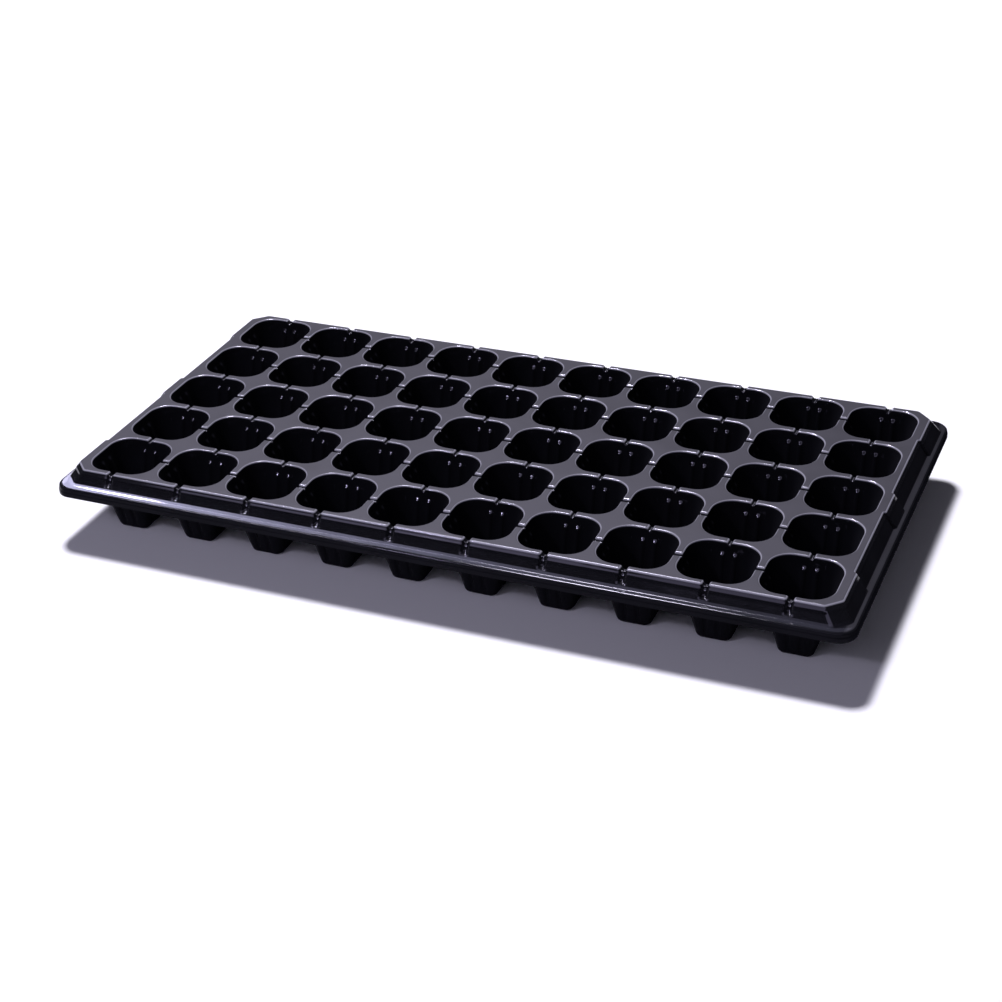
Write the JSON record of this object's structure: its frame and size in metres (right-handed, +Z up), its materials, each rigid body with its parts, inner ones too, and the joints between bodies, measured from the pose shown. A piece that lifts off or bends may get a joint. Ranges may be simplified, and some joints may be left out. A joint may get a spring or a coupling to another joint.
{
  "type": "plug tray",
  "caption": "Vacuum-formed black plastic seedling tray: a grid of tapered square cells hung from a flat deck, with a sloping skirt, a ledge and a turned-down lip.",
  "frame": {"origin": "middle of the plane that the cells' feet stand on", "axes": "+X along the tray's long side, +Y from its front long side to its back one, +Z up out of the cells' mouths"},
  "size_m": [0.54, 0.28, 0.05],
  "materials": {
    "polystyrene": "black polystyrene sheet, vacuum formed: satin on the deck and glossy in the cells"
  },
  "bodies": {
    "root": {"cell_r1_c01": "polystyrene", "cell_r1_c02": "polystyrene", "cell_r1_c03": "polystyrene", "cell_r1_c04": "polystyrene", "cell_r1_c05": "polystyrene", "cell_r1_c06": "polystyrene", "cell_r1_c07": "polystyrene", "cell_r1_c08": "polystyrene", "cell_r1_c09": "polystyrene", "cell_r1_c10": "polystyrene", "cell_r2_c01": "polystyrene", "cell_r2_c02": "polystyrene", "cell_r2_c03": "polystyrene", "cell_r2_c04": "polystyrene", "cell_r2_c05": "polystyrene", "cell_r2_c06": "polystyrene", "cell_r2_c07": "polystyrene", "cell_r2_c08": "polystyrene", "cell_r2_c09": "polystyrene", "cell_r2_c10": "polystyrene", "cell_r3_c01": "polystyrene", "cell_r3_c02": "polystyrene", "cell_r3_c03": "polystyrene", "cell_r3_c04": "polystyrene", "cell_r3_c05": "polystyrene", "cell_r3_c06": "polystyrene", "cell_r3_c07": "polystyrene", "cell_r3_c08": "polystyrene", "cell_r3_c09": "polystyrene", "cell_r3_c10": "polystyrene", "cell_r4_c01": "polystyrene", "cell_r4_c02": "polystyrene", "cell_r4_c03": "polystyrene", "cell_r4_c04": "polystyrene", "cell_r4_c05": "polystyrene", "cell_r4_c06": "polystyrene", "cell_r4_c07": "polystyrene", "cell_r4_c08": "polystyrene", "cell_r4_c09": "polystyrene", "cell_r4_c10": "polystyrene", "cell_r5_c01": "polystyrene", "cell_r5_c02": "polystyrene", "cell_r5_c03": "polystyrene", "cell_r5_c04": "polystyrene", "cell_r5_c05": "polystyrene", "cell_r5_c06": "polystyrene", "cell_r5_c07": "polystyrene", "cell_r5_c08": "polystyrene", "cell_r5_c09": "polystyrene", "cell_r5_c10": "polystyrene", "deck": "polystyrene", "skirt_front": "polystyrene", "skirt_back": "polystyrene", "skirt_left": "polystyrene", "skirt_right": "polystyrene", "skirt_corners": "polystyrene", "flange": "polystyrene", "lip": "polystyrene", "stacking_lugs": "polystyrene"}
  },
  "joints": []
}
